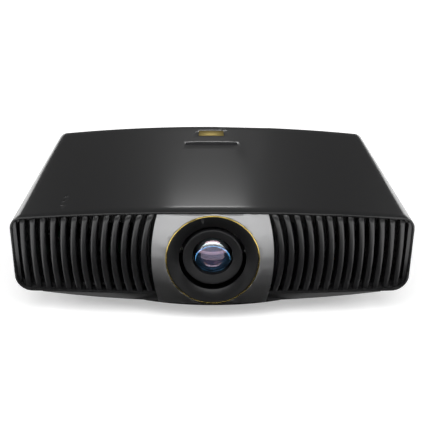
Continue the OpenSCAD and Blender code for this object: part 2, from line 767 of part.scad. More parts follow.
module engine_housing() {
    color("#4a4c50") difference() {
        box(-beam_x + 20, beam_x, engine_y0, engine_y1, engine_z0, engine_z1);
        box(-beam_x + 20 + engine_wall, beam_x - engine_wall, engine_y0 + engine_wall, engine_y1 - engine_wall,
            engine_z0 + engine_wall, engine_z1 - engine_wall);
        y_cyl(0, lens_z, 22, engine_y0 - cut, engine_y0 + engine_wall + cut);
        y_cyl(0, lens_z, 8, engine_y1 - engine_wall - cut, engine_y1 + cut);
        x_cyl(engine_y0 + 31, lens_z, 6, beam_x - engine_wall - cut, beam_x + cut);
    }
}

prism_s = 30;
module prism() {
    color("#a9c4d8") for (s = [0, 1]) translate([0, engine_y0 + 31, lens_z]) rotate([0, 0, 180 * s])
        linear_extrude(prism_s, center = true)
            polygon([[-prism_s / 2, -prism_s / 2], [prism_s / 2 - 0.4, -prism_s / 2], [-prism_s / 2, prism_s / 2 - 0.4]]);
    color("#4a4c50") box(-prism_s / 2, prism_s / 2, engine_y0 + 16, engine_y0 + 46, engine_z0 + engine_wall, lens_z - prism_s / 2);
}

module chip_board() {
    color("#1f5a38") box(-40, 50, engine_y1 + 3, engine_y1 + 4.6, engine_z0 + 4, engine_z1 + 4);
    color("#2a2a2a") box(-16, 16, engine_y1, engine_y1 + 3, lens_z - 12, lens_z + 12);
    color("#2a2a2a") for (s = [-1, 1]) y_cyl(5 + s * 38, lens_z - 26, 3, engine_y1, engine_y1 + 3);
}

module chip_heatsink() {
    color("#a5a7aa") {
        box(-28, 38, engine_y1 + 4.6, engine_y1 + 9, lens_z - 26, lens_z + 30);
        for (i = [0:10]) box(-28 + i * 6.4, -28 + i * 6.4 + 2, engine_y1 + 9 - 0.5, engine_y1 + 30, lens_z - 26, lens_z + 30);
    }
}

wheel_x = beam_x + 20;
wheel_y = engine_y0 + 31;
wheel_z = lens_z - 22;
module phosphor_wheel() {
    color("#c9b36a") difference() {
        x_cyl(wheel_y, wheel_z, 28, wheel_x, wheel_x + 1.2);
        x_cyl(wheel_y, wheel_z, 3, wheel_x - cut, wheel_x + 2);
    }
    color("#8a8a8c") {
        x_cyl(wheel_y, wheel_z, 9, wheel_x + 1.2, wheel_x + 5);
        x_cyl(wheel_y, wheel_z, 3, wheel_x - 2, wheel_x + 14);
    }
}

module laser_module() {
    color("#56585c") difference() {
        union() {
            box(wheel_x + 34, wheel_x + 52, wheel_y - 30, wheel_y + 30, engine_z0, engine_z1);
            box(wheel_x + 12, wheel_x + 34, wheel_y - 12, wheel_y + 12, engine_z0, wheel_z + 12);
        }
        x_cyl(wheel_y, wheel_z, 3 + run, wheel_x, wheel_x + 16);
    }
    color("#d8dde6") for (i = [-1:1], j = [0:2]) x_cyl(wheel_y + i * 16, lens_z - 8 + j * 14, 4, wheel_x + 30, wheel_x + 34);
}

sink_x0 = wheel_x + 52;
sink_x1 = sink_x0 + 66;
module laser_heatsink() {
    color("#b0b2b5") {
        box(sink_x0, sink_x0 + 6, wheel_y - 44, wheel_y + 44, engine_z0, engine_z1 + 2);
        for (i = [0:13]) box(sink_x0 + 5, sink_x1, wheel_y - 44 + i * 6.6, wheel_y - 44 + i * 6.6 + 1.6, engine_z0, engine_z1 + 2);
    }
    color("#b5713c") for (s = [-1, 1], z = [engine_z0 + 20, engine_z0 + 60])
        x_cyl(wheel_y + s * 20, z, 3, sink_x0 + 2, sink_x1 + 2);
}

// ---- cooling ----

fan_x = half_w - 69.5;
fan_y0 = y_carrier + gap;
fan_z = z_shell + 8 + fan_w / 2;
module fan_frames() {
    color("#1d1d1f") for (s = [-1, 1]) translate([s * fan_x, fan_y0, fan_z]) {
        difference() {
            translate([-fan_w / 2, 0, -fan_w / 2]) cube([fan_w, fan_t, fan_w]);
            y_cyl(0, 0, fan_w / 2 - 3, -cut, fan_t + cut);
        }
        difference() {
            union() {
                y_cyl(0, 0, 15, fan_t - 4, fan_t);
                for (a = [45:90:315]) rotate([0, a, 0]) translate([0, fan_t - 4, -2]) cube([fan_w / 2 - 2, 3, 4]);
            }
            y_cyl(0, 0, 2 + run, 0, fan_t - 1);
        }
    }
}

module rotor(x) {
    color("#2b2b2e") translate([x, fan_y0, fan_z]) {
        y_cyl(0, 0, 17, 2, fan_t - 5);
        y_cyl(0, 0, 2, fan_t - 6, fan_t - 1.3);
        for (i = [0:fan_blades - 1]) rotate([0, i * 360 / fan_blades, 0])
            translate([15, (fan_t - 3) / 2, 0]) rotate([38, 0, 0]) translate([0, -9, -0.9])
                cube([fan_w / 2 - 3 - 1.5 - 15, 18, 1.8]);
    }
}
module left_rotor() rotor(-fan_x);
module right_rotor() rotor(fan_x);

// ---- electronics ----

board_t = 1.6;
board_z = 38.4;
board_top = board_z + board_t;
board_y1 = y_back - 8;
board_y0 = board_y1 - 62;
board_half = 100;
board_posts_x = [-92, 92];
board_posts_y = [board_y0 + 8, board_y1 - 14];
ports = [[-78, 15, 6.4], [-54, 15, 6.4], [-28, 13.4, 6.8], [-2, 16, 13.6], [28, 31, 12], [62, 8, 8], [76, 8, 8]];

module main_board() {
    color("#1f5a38") box(-board_half, board_half, board_y0, board_y1, board_z, board_top);
    color("#2a2a2a") {
        box(-30, 6, board_y0 + 6, board_y0 + 40, board_top, board_top + 4);
        box(30, 56, board_y0 + 6, board_y0 + 32, board_top, board_top + 3);
    }
}

// A connector body with its mouth at the back; p is its place, width and height
module socket(p, depth, lip) difference() {
    box(p[0] - p[1] / 2, p[0] + p[1] / 2, y_back - 3 - depth, y_back - 3.5, board_top, board_top + p[2]);
    box(p[0] - p[1] / 2 + lip, p[0] + p[1] / 2 - lip, y_back - 3 - depth + 3, y_back, board_top + lip, board_top + p[2] - lip);
}

module io_sockets() {
    color("#9b9da0") {
        for (i = [0:2]) socket(ports[i], 14, 0.8);
        socket(ports[3], 18, 1.2);
    }
    color("#25477a") difference() {
        box(ports[4][0] - 15.5, ports[4][0] + 15.5, y_back - 15, y_back - 3.5, board_top, board_top + ports[4][2]);
        for (i = [0:4]) y_cyl(ports[4][0] - 6 + i * 3, board_top + 7.4, 0.6, y_back - 10, y_back);
        for (i = [0:3]) y_cyl(ports[4][0] - 4.5 + i * 3, board_top + 4.6, 0.6, y_back - 10, y_back);
    }
    color("#1a1a1a") for (i = [5, 6]) difference() {
        box(ports[i][0] - 4, ports[i][0] + 4, y_back - 17, y_back - 3.5, board_top, board_top + 8);
        y_cyl(ports[i][0], board_top + 4, 1.75, y_back - 15, y_back);
    }
}

supply_t = 1.6;
supply_z = 40;
supply_x = 23.5 - half_w;   // outer edge of the power board
supply_y = y_carrier + 74;  // its front edge
supply_posts_x = [supply_x + 7, supply_x + 94];
supply_posts_y = [supply_y + 8, supply_y + 166];
module power_board() {
    top = supply_z + supply_t;
    translate([supply_x, supply_y, 0]) {
        color("#b58a45") box(0, 102, 0, 174, supply_z, top);
        color("#2c2c2e") {
            box(42, 82, 56, 100, top, top + 32);
            box(8, 32, 16, 86, top, top + 40);
        }
        color("#4a4f58") for (y = [118, 144]) z_cyl(72, y, 11, top, top + 34);
        color("#a5a7aa") box(8, 12, 96, 166, top, top + 36);
    }
}

module mains_inlet() {
    color("#111113") difference() {
        union() {
            box(inlet_x - inlet_w / 2, inlet_x + inlet_w / 2, y_back - 26, y_back - 3,
                inlet_z - inlet_h / 2, inlet_z + inlet_h / 2);
            box(inlet_x - inlet_w / 2 - 5, inlet_x + inlet_w / 2 + 5, y_back - wall - 3 - 2, y_back - wall - 3,
                inlet_z - inlet_h / 2 - 3, inlet_z + inlet_h / 2 + 3);
        }
        box(inlet_x - inlet_w / 2 + 1.4, inlet_x + inlet_w / 2 - 1.4, y_back - 20, y_back,
            inlet_z - inlet_h / 2 + 1.8, inlet_z + inlet_h / 2 - 1.8);
    }
    color("#c9c9c9") for (d = [[-7, 1.5], [0, -3], [7, 1.5]])
        box(inlet_x + d[0] - 1, inlet_x + d[0] + 1, y_back - 21, y_back - 8, inlet_z + d[1] - 2, inlet_z + d[1] + 2);
}

module case_screws() {
    color("#5a5a5c") both_sides() for (y = post_ys) {
        z_cyl(post_x, y, screw_r - 0.2, z_shell + 3, z_split + 12);
        z_cyl(post_x, y, screw_head_r, z_shell + 1.2, z_shell + 3.9);
    }
}

top_cover();
lower_housing();
rear_panel();
front_carrier();
left_grille();
right_grille();
lens_fascia();
trim_ring();
lens_dish();
badge_plate();
receiver_windows();
status_lights();
keypad_frame();
power_key();
menu_key();
ok_key();
up_key();
down_key();
left_key();
right_key();
left_foot_pad();
left_foot_screw();
right_foot_pad();
right_foot_screw();
rear_feet();
foot_inserts();
lens_barrel();
focus_cell();
front_glass();
focus_ring();
zoom_ring();
zoom_cell();
focus_motor();
focus_pinion();
zoom_motor();
zoom_pinion();
engine_base();
vertical_rods();
vertical_stage();
horizontal_rods();
horizontal_stage();
vertical_motor();
vertical_screw();
horizontal_motor();
horizontal_screw();
engine_housing();
prism();
chip_board();
chip_heatsink();
phosphor_wheel();
laser_module();
laser_heatsink();
fan_frames();
left_rotor();
right_rotor();
main_board();
power_board();
mains_inlet();
io_sockets();
case_screws();
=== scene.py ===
import math

import bmesh
import bpy
from mathutils import Matrix, Vector


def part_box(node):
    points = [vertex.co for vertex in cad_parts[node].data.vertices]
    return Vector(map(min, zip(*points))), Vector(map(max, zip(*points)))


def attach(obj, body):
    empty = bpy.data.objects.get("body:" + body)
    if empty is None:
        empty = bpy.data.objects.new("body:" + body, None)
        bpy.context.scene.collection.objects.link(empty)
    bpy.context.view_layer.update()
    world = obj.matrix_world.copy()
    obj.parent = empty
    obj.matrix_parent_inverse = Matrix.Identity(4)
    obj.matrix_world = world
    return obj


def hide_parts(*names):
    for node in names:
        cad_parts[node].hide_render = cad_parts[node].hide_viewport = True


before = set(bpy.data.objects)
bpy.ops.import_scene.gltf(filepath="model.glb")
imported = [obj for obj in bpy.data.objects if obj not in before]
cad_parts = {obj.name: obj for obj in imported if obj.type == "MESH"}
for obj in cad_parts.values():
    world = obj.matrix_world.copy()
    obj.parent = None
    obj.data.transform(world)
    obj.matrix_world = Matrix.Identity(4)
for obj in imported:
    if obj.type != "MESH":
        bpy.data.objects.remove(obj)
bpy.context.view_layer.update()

bl_info = {
    "name": "Home cinema projector",
    "version": (1, 0, 0),
    "blender": (4, 5, 0),
    "location": "3D View > Sidebar > Projector",
    "description": "Builds the finished surfaces of a home cinema projector around its packed parts",
    "category": "Object",
}

MM = 0.001
MERGE = 0.00002  # corners nearer than this are one corner
SNAP = 0.00001  # a cut passes through corners nearer than this


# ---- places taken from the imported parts, in metres ----

def low(node):
    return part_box(node)[0]


def high(node):
    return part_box(node)[1]


def middle(node):
    lo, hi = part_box(node)
    return (lo + hi) / 2


LENS_X = 0.0
LENS_Z = middle("focus_cell").z
NOSE_Y = low("lens_fascia").y
LENS_Y = low("focus_cell").y
TOP_Z = high("top_cover").z
HALF_W = high("top_cover").x
BACK_Y = high("top_cover").y
SHELL_Z = low("left_grille").z - 2.8 * MM


# ---- sizes and colours that a user would change ----

def length(name, description, default):
    """A length in metres in the add-on's panel."""
    return bpy.props.FloatProperty(name=name, description=description, default=default, unit="LENGTH")


def colour(name, description, default):
    """A linear colour in the add-on's panel."""
    return bpy.props.FloatVectorProperty(name=name, description=description, subtype="COLOR",
                                         default=default, min=0, max=1)


class ProjectorSizes(bpy.types.PropertyGroup):
    crown: length("Crown", "Rise of the lid from its sides to its middle", 0.011)
    edge_radius: length("Upper edge radius", "Radius of the lid's side edges", 0.016)
    belly_radius: length("Lower edge radius", "Radius of the lower side edges", 0.020)
    wall: length("Wall", "Wall of the case mouldings", 0.0025)
    blade_pitch: length("Blade pitch", "Distance from one louvre blade to the next", 0.0123)
    blade_width: length("Blade width", "Width of one louvre blade", 0.0076)
    blade_first: length("First blade", "Outer edge of the blade beside the lens panel", 0.088)
    blade_count: bpy.props.IntProperty(name="Blades", description="Blades on each side", default=13,
                                       min=3, max=20)
    blade_nose: length("Blade nose", "How far the edges of a blade's front round back", 0.0016)


class ProjectorColours(bpy.types.PropertyGroup):
    case: colour("Case", "Lacquer of the case", (0.0085, 0.0085, 0.009))
    louvre: colour("Louvres", "Plastic of the louvres", (0.008, 0.008, 0.0088))
    panel: colour("Lens panel", "Brushed metal of the lens panel", (0.46, 0.46, 0.465))
    gold: colour("Trim", "Metal of the trim ring and the lid's plate", (0.80, 0.60, 0.16))


def sizes():
    return bpy.context.scene.projector_sizes


def colours():
    return bpy.context.scene.projector_colours


# ---- node tree helpers ----

class Tree:
    """Builds a node tree with short calls; a socket or a plain value can be any input."""

    def __init__(self, tree):
        self.tree = tree

    def node(self, kind, inputs=(), out=0, **settings):
        n = self.tree.nodes.new(kind)
        for key, value in settings.items():
            setattr(n, key, value)
        pairs = inputs.items() if isinstance(inputs, dict) else enumerate(inputs)
        for key, value in pairs:
            if value is None:
                continue
            if isinstance(value, bpy.types.NodeSocket):
                self.tree.links.new(value, n.inputs[key])
            else:
                n.inputs[key].default_value = value
        return n if out is None else n.outputs[out]

    def math(self, operation, a, b=None, c=None):
        kind = "ShaderNodeMath"
        return self.node(kind, [a, b, c], operation=operation)

    def add(self, a, b):
        return self.math("ADD", a, b)

    def sub(self, a, b):
        return self.math("SUBTRACT", a, b)

    def mul(self, a, b):
        return self.math("MULTIPLY", a, b)

    def div(self, a, b):
        return self.math("DIVIDE", a, b)


# ---- finishes ----

def finish(name, colour, roughness, metallic=0.0, specular=0.5, grain=900.0, bump=0.15, depth=0.00002,
           colour_spread=0.12, rough_spread=0.06, stretch=(1, 1, 1), coat=0.0, coat_rough=0.1,
           anisotropic=0.0):
    """A moulded, lacquered or metal finish with fine grain, uneven gloss and slight colour change."""
    m = bpy.data.materials.new(name)
    m.use_nodes = True
    m.node_tree.nodes.clear()
    t = Tree(m.node_tree)
    place = t.node("ShaderNodeTexCoord", out=None).outputs["Object"]
    place = t.node("ShaderNodeMapping", {"Vector": place, "Scale": stretch})
    fine = t.node("ShaderNodeTexNoise", {"Vector": place, "Scale": grain, "Detail": 3.0, "Roughness": 0.55})
    broad = t.node("ShaderNodeTexNoise", {"Vector": place, "Scale": grain / 40, "Detail": 2.0})
    lo = [c * (1 - colour_spread) for c in colour] + [1]
    hi = [min(1, c * (1 + colour_spread)) for c in colour] + [1]
    # the mix node's inputs 0, 6 and 7 are its factor and two colours, and output 2 is their mix
    colour_out = t.node("ShaderNodeMix", {0: broad, 6: lo, 7: hi}, out=2, data_type="RGBA")
    rough = t.node("ShaderNodeMapRange", {"Value": fine, "From Min": 0.3, "From Max": 0.7,
                                          "To Min": max(0.02, roughness - rough_spread),
                                          "To Max": min(1, roughness + rough_spread)})
    relief = t.node("ShaderNodeBump", {"Strength": bump, "Distance": depth, "Height": fine})
    inputs = {"Base Color": colour_out, "Roughness": rough, "Metallic": metallic, "Specular IOR Level": specular,
              "Normal": relief, "Coat Weight": coat, "Coat Roughness": coat_rough, "Anisotropic": anisotropic}
    if anisotropic:
        inputs["Tangent"] = t.node("ShaderNodeTangent", direction_type="RADIAL", axis="Z")
    shader = t.node("ShaderNodeBsdfPrincipled", inputs)
    t.node("ShaderNodeOutputMaterial", [shader], out=None)
    return m


def glass(name, colour, ior=1.5, roughness=0.0, tint=(1, 1, 1)):
    """Coated optical glass with a faint uneven polish."""
    m = bpy.data.materials.new(name)
    m.use_nodes = True
    m.node_tree.nodes.clear()
    t = Tree(m.node_tree)
    place = t.node("ShaderNodeTexCoord", out=None).outputs["Object"]
    noise = t.node("ShaderNodeTexNoise", {"Vector": place, "Scale": 60.0})
    rough = t.node("ShaderNodeMapRange", {"Value": noise, "To Min": roughness, "To Max": roughness + 0.02})
    shader = t.node("ShaderNodeBsdfPrincipled", {
        "Base Color": (*colour, 1), "Roughness": rough, "IOR": ior, "Transmission Weight": 1.0,
        "Specular Tint": (*tint, 1)})
    t.node("ShaderNodeOutputMaterial", [shader], out=None)
    return m


MATERIALS = {}


def make_materials():
    c = colours()
    case, louvre, panel, gold = (tuple(v) for v in (c.case, c.louvre, c.panel, c.gold))
    m = MATERIALS
    m["case"] = finish("satin_black_lacquer", case, 0.42, grain=2600, bump=0.25, coat=0.6, coat_rough=0.15,
                       specular=0.3)
    m["louvre"] = finish("moulded_black_louvre", louvre, 0.34, grain=1800, bump=0.12, specular=0.6, coat=0.5,
                         coat_rough=0.2)
    m["panel"] = finish("brushed_silver", panel, 0.38, metallic=1.0, grain=160, stretch=(1, 1, 22), bump=0.25,
                        depth=0.00002, colour_spread=0.05, rough_spread=0.05, anisotropic=0.6)
    m["gold"] = finish("pale_gold", gold, 0.2, metallic=1.0, grain=500, bump=0.05, colour_spread=0.05)
    m["badge"] = finish("brushed_gold_plate", tuple(v * 0.75 for v in gold), 0.38, metallic=1.0, grain=220,
                        stretch=(1, 16, 1), bump=0.2, colour_spread=0.08)
    m["gloss"] = finish("glossy_black", (0.007, 0.007, 0.0075), 0.34, grain=700, bump=0.03, specular=0.35)
    m["window"] = finish("dark_window", (0.004, 0.004, 0.006), 0.12, grain=500, bump=0.02, specular=0.5)
    m["cell"] = finish("anodised_black", (0.012, 0.012, 0.013), 0.4, grain=2200, bump=0.2, specular=0.4)
    m["rubber"] = finish("black_rubber", (0.014, 0.014, 0.014), 0.75, grain=1500, bump=0.4, depth=0.00005,
                         specular=0.3)
    m["steel"] = finish("turned_steel", (0.52, 0.53, 0.54), 0.3, metallic=1.0, grain=400, stretch=(1, 1, 9),
                        bump=0.2)
    m["brass"] = finish("turned_brass", (0.70, 0.50, 0.20), 0.3, metallic=1.0, grain=400, bump=0.2)
    m["cast"] = finish("die_cast_metal", (0.35, 0.36, 0.38), 0.5, metallic=1.0, grain=900, bump=0.4)
    m["fins"] = finish("extruded_aluminium", (0.66, 0.67, 0.69), 0.35, metallic=1.0, grain=300, stretch=(12, 1, 1),
                       bump=0.2)
    m["motor"] = finish("motor_black", (0.03, 0.03, 0.032), 0.4, grain=1200)
    m["acetal"] = finish("white_acetal", (0.72, 0.70, 0.62), 0.45, grain=800, bump=0.1)
    m["black_acetal"] = finish("black_acetal", (0.02, 0.02, 0.022), 0.45, grain=800, bump=0.1)
    m["board"] = finish("solder_mask", (0.02, 0.11, 0.05), 0.35, grain=300, bump=0.3, colour_spread=0.3)
    m["fan"] = finish("fan_black", (0.012, 0.012, 0.013), 0.45, grain=1500, bump=0.15)
    m["phosphor"] = finish("phosphor_coat", (0.75, 0.60, 0.12), 0.7, grain=900, bump=0.3)
    m["key"] = finish("key_grey", (0.035, 0.035, 0.038), 0.5, grain=2000, bump=0.25)
    m["light_pipe"] = finish("light_pipe", (0.11, 0.11, 0.11), 0.3, grain=500, bump=0.05)
    m["socket"] = finish("plated_shell", (0.60, 0.61, 0.62), 0.28, metallic=1.0, grain=600, bump=0.15)
    m["front_glass"] = glass("coated_front_glass", (0.85, 0.95, 1.0), ior=2.1, tint=(1.0, 0.60, 0.70))
    m["coated"] = finish("blue_coated_glass", (0.10, 0.20, 0.36), 0.12, metallic=1.0, grain=60, bump=0.0,
                         rough_spread=0.01)
    m["prism"] = glass("prism_glass", (0.85, 0.92, 0.95), ior=1.52)


NODE_FINISH = {
    "case": ["top_cover", "lower_housing", "rear_panel", "front_carrier"],
    "louvre": ["left_grille", "right_grille"], "panel": ["lens_fascia"], "gold": ["trim_ring"],
    "badge": ["badge_plate"], "gloss": ["lens_dish"], "window": ["receiver_windows", "keypad_frame"],
    "light_pipe": ["status_lights"],
    "key": ["power_key", "menu_key", "ok_key", "up_key", "down_key", "left_key", "right_key"],
    "rubber": ["left_foot_pad", "right_foot_pad", "rear_feet"],
    "steel": ["left_foot_screw", "right_foot_screw", "focus_motor", "zoom_motor", "vertical_rods",
              "horizontal_rods", "vertical_screw", "horizontal_screw", "case_screws"],
    "brass": ["foot_inserts"], "cell": ["lens_barrel", "focus_cell", "zoom_cell"],
    "front_glass": ["front_glass"], "black_acetal": ["focus_ring", "zoom_ring"],
    "acetal": ["focus_pinion", "zoom_pinion"],
    "cast": ["engine_base", "vertical_stage", "horizontal_stage", "engine_housing", "laser_module"],
    "motor": ["vertical_motor", "horizontal_motor", "mains_inlet"], "prism": ["prism"],
    "board": ["chip_board", "main_board", "power_board"], "fins": ["chip_heatsink", "laser_heatsink"],
    "phosphor": ["phosphor_wheel"], "fan": ["fan_frames", "left_rotor", "right_rotor"],
    "socket": ["io_sockets"],
}


# ---- making pieces ----

END_STRIP = 0.013  # depth of the strips at the lid's front and back whose edges are rounded in full
INNER_WEIGHT = 0.25  # share of the rounding that the lid's other edges get

def piece(name, mesh, body, finish_key, *nodes, slot=None):
    """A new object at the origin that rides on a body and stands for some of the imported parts."""
    obj = bpy.data.objects.new(name, mesh)
    bpy.context.scene.collection.objects.link(obj)
    if finish_key:
        mesh.materials.clear()
        mesh.materials.append(MATERIALS[finish_key])
    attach(obj, body)
    if nodes:
        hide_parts(*nodes)
    return obj


def apply_modifiers(obj):
    """Turns an object's evaluated shape into its own plain mesh."""
    mesh = bpy.data.meshes.new_from_object(obj.evaluated_get(bpy.context.evaluated_depsgraph_get()))
    obj.modifiers.clear()
    obj.data = mesh
    return obj


def smooth(mesh, degrees=35):
    mesh.shade_smooth()
    mesh.set_sharp_from_angle(angle=math.radians(degrees))


def crown_radius():
    """Radius of the lid's crown, from its rise and the width between its side edges."""
    s = sizes()
    half = HALF_W - s.edge_radius
    return (half ** 2 + s.crown ** 2) / (2 * s.crown)


def crown_height(x):
    """Height of the lid's crowned surface at a distance from the middle."""
    radius = crown_radius()
    return TOP_Z - radius + math.sqrt(radius ** 2 - x * x)


def cut(bm, axis, at):
    """Cuts a mesh along the plane where one coordinate has the given value."""
    place, normal = [0, 0, 0], [0, 0, 0]
    place[axis], normal[axis] = at, 1
    bmesh.ops.bisect_plane(bm, geom=bm.verts[:] + bm.edges[:] + bm.faces[:], plane_co=place,
                           plane_no=normal, dist=SNAP)


def grid_crown(bm):
    """Cuts the lid into a grid and sets its outer face on the exact crown, so that it shades evenly."""
    half = HALF_W - sizes().edge_radius
    step_x, step_y = 0.0123, 0.0195
    beyond, near = 0.0005, 0.0003  # how far past the crown's end, and how near to it, a corner still counts
    for axis, reach, step in ((0, HALF_W, step_x), (1, BACK_Y, step_y)):
        at = -reach + step / 2
        while at < reach:
            cut(bm, axis, at)
            at += step
    for v in bm.verts:
        if abs(v.co.x) < half + beyond:
            z = crown_height(v.co.x)
            if abs(v.co.z - z) < near:
                v.co.z = z


def grid_panel(bm):
    """Cuts the lens panel into a grid about the lens, so that it shades evenly."""
    lines, step_x, step_z = 12, 0.0061, 0.0051
    for k in range(-lines, lines + 1):
        cut(bm, 0, k * step_x)
        cut(bm, 2, LENS_Z + k * step_z)


def softened(name, node, body, finish_key, width, segments=2, degrees=32):
    """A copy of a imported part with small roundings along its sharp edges."""
    bm = bmesh.new()
    bm.from_mesh(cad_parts[node].data)
    bmesh.ops.remove_doubles(bm, verts=bm.verts, dist=MERGE)
    bmesh.ops.dissolve_limit(bm, angle_limit=math.radians(1.2), verts=bm.verts, edges=bm.edges)
    if node == "lens_fascia":
        grid_panel(bm)
    if node == "top_cover":
        grid_crown(bm)
        weight = bm.edges.layers.float.new("bevel_weight_edge")
        for e in bm.edges:
            y = (e.verts[0].co.y + e.verts[1].co.y) / 2
            if len(e.link_faces) == 2 and e.calc_face_angle(0) > math.radians(degrees):
                e[weight] = 1.0 if abs(y) > BACK_Y - END_STRIP else INNER_WEIGHT
    mesh = bpy.data.meshes.new(name)
    bm.to_mesh(mesh)
    bm.free()
    obj = piece(name, mesh, body, finish_key, node)
    bevel = obj.modifiers.new("edge_rounding", "BEVEL")
    bevel.width = width
    bevel.segments = segments
    bevel.limit_method = "WEIGHT" if node == "top_cover" else "ANGLE"
    bevel.angle_limit = math.radians(degrees)
    bevel.use_clamp_overlap = True
    bevel.harden_normals = False
    apply_modifiers(obj)
    smooth(obj.data, 40)
    return obj


# ---- operators ----

CAM_LENS = 63.56
CAM_PLACE = (-0.009, -0.9975, 0.501)
CAM_TURN = (0.63, 23.5, 0.33)
FLOOR_GLOW = 0.42  # the floor's glow beside the projector
WORLD_LEVEL = 0.07
# the dark card below is a painted dark reflection: only metal and gloss see it, not the camera, and it casts no
# shadow
CARD_REACH = 0.32  # how far the dark card reaches in front of the nose
CARD_GAP = 0.004  # between the card and the nose
CARD_SIDE = 0.06  # how far the card reaches past the case's sides
CARD_LIFT = 0.001  # of the card over the floor
FLOOR_REACH = 14.0
FLOOR_WHITE = (0.80, 0.80, 0.80, 1)
GLOW_FROM, GLOW_FULL = 0.35, 1.3  # distances where the floor's glow starts to rise and where it is full
GLOW_MIDDLE = (0, -0.1, 0)
LIGHTS = [
    # name, place, target, size, power
    ("overhead", (0, -1.1, 1.45), (0, 0, 0.05), (2.2, 1.2), 30),
    ("left_side", (-1.9, -0.1, 1.1), (0, 0, 0.1), (1.6, 1.2), 18),
    ("right_side", (1.9, -0.1, 1.1), (0, 0, 0.1), (1.6, 1.2), 18),
    ("left_rim", (-1.93, 2.3, 0.48), (0, 0, 0.12), (1.3, 0.9), 8),
    ("right_rim", (1.93, 2.3, 0.48), (0, 0, 0.12), (1.3, 0.9), 8),
    ("rear_spot", (0, 3.4, 1.86), (0, 0, 0.14), (0.6, 0.26), 3.2),
]

class PROJECTOR_OT_stage(bpy.types.Operator):
    """Makes the floor, the soft lights, the world and the camera"""
    bl_idname = "projector.stage"
    bl_label = "Stage"

    def execute(self, context):
        scene = context.scene
        scene.view_settings.view_transform = "Standard"
        # floor
        mesh = bpy.data.meshes.new("studio_floor")
        r = FLOOR_REACH
        mesh.from_pydata([(-r, -r, 0), (r, -r, 0), (r, r, 0), (-r, r, 0)], [], [(0, 1, 2, 3)])
        floor = bpy.data.objects.new("studio_floor", mesh)
        scene.collection.objects.link(floor)
        m = bpy.data.materials.new("floor_white")
        m.use_nodes = True
        m.node_tree.nodes.clear()
        t = Tree(m.node_tree)
        rays = t.node("ShaderNodeLightPath", out=None)
        seen = t.math("MAXIMUM", rays.outputs["Is Camera Ray"], rays.outputs["Is Glossy Ray"])
        seen = t.math("MAXIMUM", seen, rays.outputs["Is Transmission Ray"])
        body = t.node("ShaderNodeBsdfDiffuse", {"Color": FLOOR_WHITE})
        spot = t.node("ShaderNodeTexCoord", out=None).outputs["Object"]
        away = t.node("ShaderNodeVectorMath", {0: spot, 1: GLOW_MIDDLE}, out=None, operation="DISTANCE")
        level = t.node("ShaderNodeMapRange", {"Value": away.outputs["Value"], "From Min": GLOW_FROM,
                                              "From Max": GLOW_FULL, "To Min": FLOOR_GLOW, "To Max": 1.0})
        glow = t.node("ShaderNodeEmission", {"Color": (1, 1, 1, 1), "Strength": t.mul(seen, level)})
        both = t.node("ShaderNodeAddShader", [body, glow])
        t.node("ShaderNodeOutputMaterial", [both], out=None)
        mesh.materials.append(m)
        # a dark card on the floor before the front, which only metal and gloss see: it paints a dark reflection
        # into the lens panel and louvres, darkest at their lower parts
        painted_reflection_sheet_mesh = bpy.data.meshes.new("painted_shade_card")
        y0, y1, x, z = NOSE_Y - CARD_REACH, NOSE_Y - CARD_GAP, HALF_W + CARD_SIDE, CARD_LIFT
        painted_reflection_sheet_mesh.from_pydata([(-x, y0, z), (x, y0, z), (x, y1, z), (-x, y1, z)], [], [(0, 1, 2, 3)])
        painted_reflection_sheet = bpy.data.objects.new("painted_shade_card", painted_reflection_sheet_mesh)
        scene.collection.objects.link(painted_reflection_sheet)
        painted_reflection_sheet_mesh.materials.append(finish("painted_shade_black", (0.01, 0.01, 0.01), 0.9, specular=0.0))
        # hidden from all but glossy rays, so the card only paints dark reflection
        painted_reflection_sheet.visible_camera = painted_reflection_sheet.visible_diffuse = painted_reflection_sheet.visible_shadow = painted_reflection_sheet.visible_transmission = False
        # world
        world = bpy.data.worlds.new("studio")
        world.use_nodes = True
        world.node_tree.nodes["Background"].inputs["Color"].default_value = (1, 1, 1, 1)
        world.node_tree.nodes["Background"].inputs["Strength"].default_value = WORLD_LEVEL
        scene.world = world
        for name, place, target, size, power in LIGHTS:
            lamp = bpy.data.lights.new(name, "AREA")
            lamp.shape = "RECTANGLE"
            lamp.size, lamp.size_y = size
            lamp.energy = power
            obj = bpy.data.objects.new(name, lamp)
            scene.collection.objects.link(obj)
            obj.location = place
            obj.rotation_euler = (Vector(target) - Vector(place)).to_track_quat("-Z", "Y").to_euler()
        # camera
        cam = bpy.data.cameras.new("view")
        cam.lens = CAM_LENS
        cam.sensor_width = 36
        obj = bpy.data.objects.new("view", cam)
        scene.collection.objects.link(obj)
        place = Vector(CAM_PLACE)
        yaw, pitch, roll = (math.radians(a) for a in CAM_TURN)
        obj.matrix_world = (Matrix.Translation(place) @ Matrix.Rotation(-yaw, 4, "Z")
                            @ Matrix.Rotation(math.pi / 2 - pitch, 4, "X") @ Matrix.Rotation(roll, 4, "Z"))
        scene.camera = obj
        return {"FINISHED"}


class PROJECTOR_OT_finishes(bpy.types.Operator):
    """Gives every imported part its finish"""
    bl_idname = "projector.finishes"
    bl_label = "Finishes"

    def execute(self, context):
        make_materials()
        for key, nodes in NODE_FINISH.items():
            for node in nodes:
                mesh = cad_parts[node].data
                for i in range(max(1, len(mesh.materials))):
                    if len(mesh.materials) <= i:
                        mesh.materials.append(MATERIALS[key])
                    else:
                        mesh.materials[i] = MATERIALS[key]
        return {"FINISHED"}


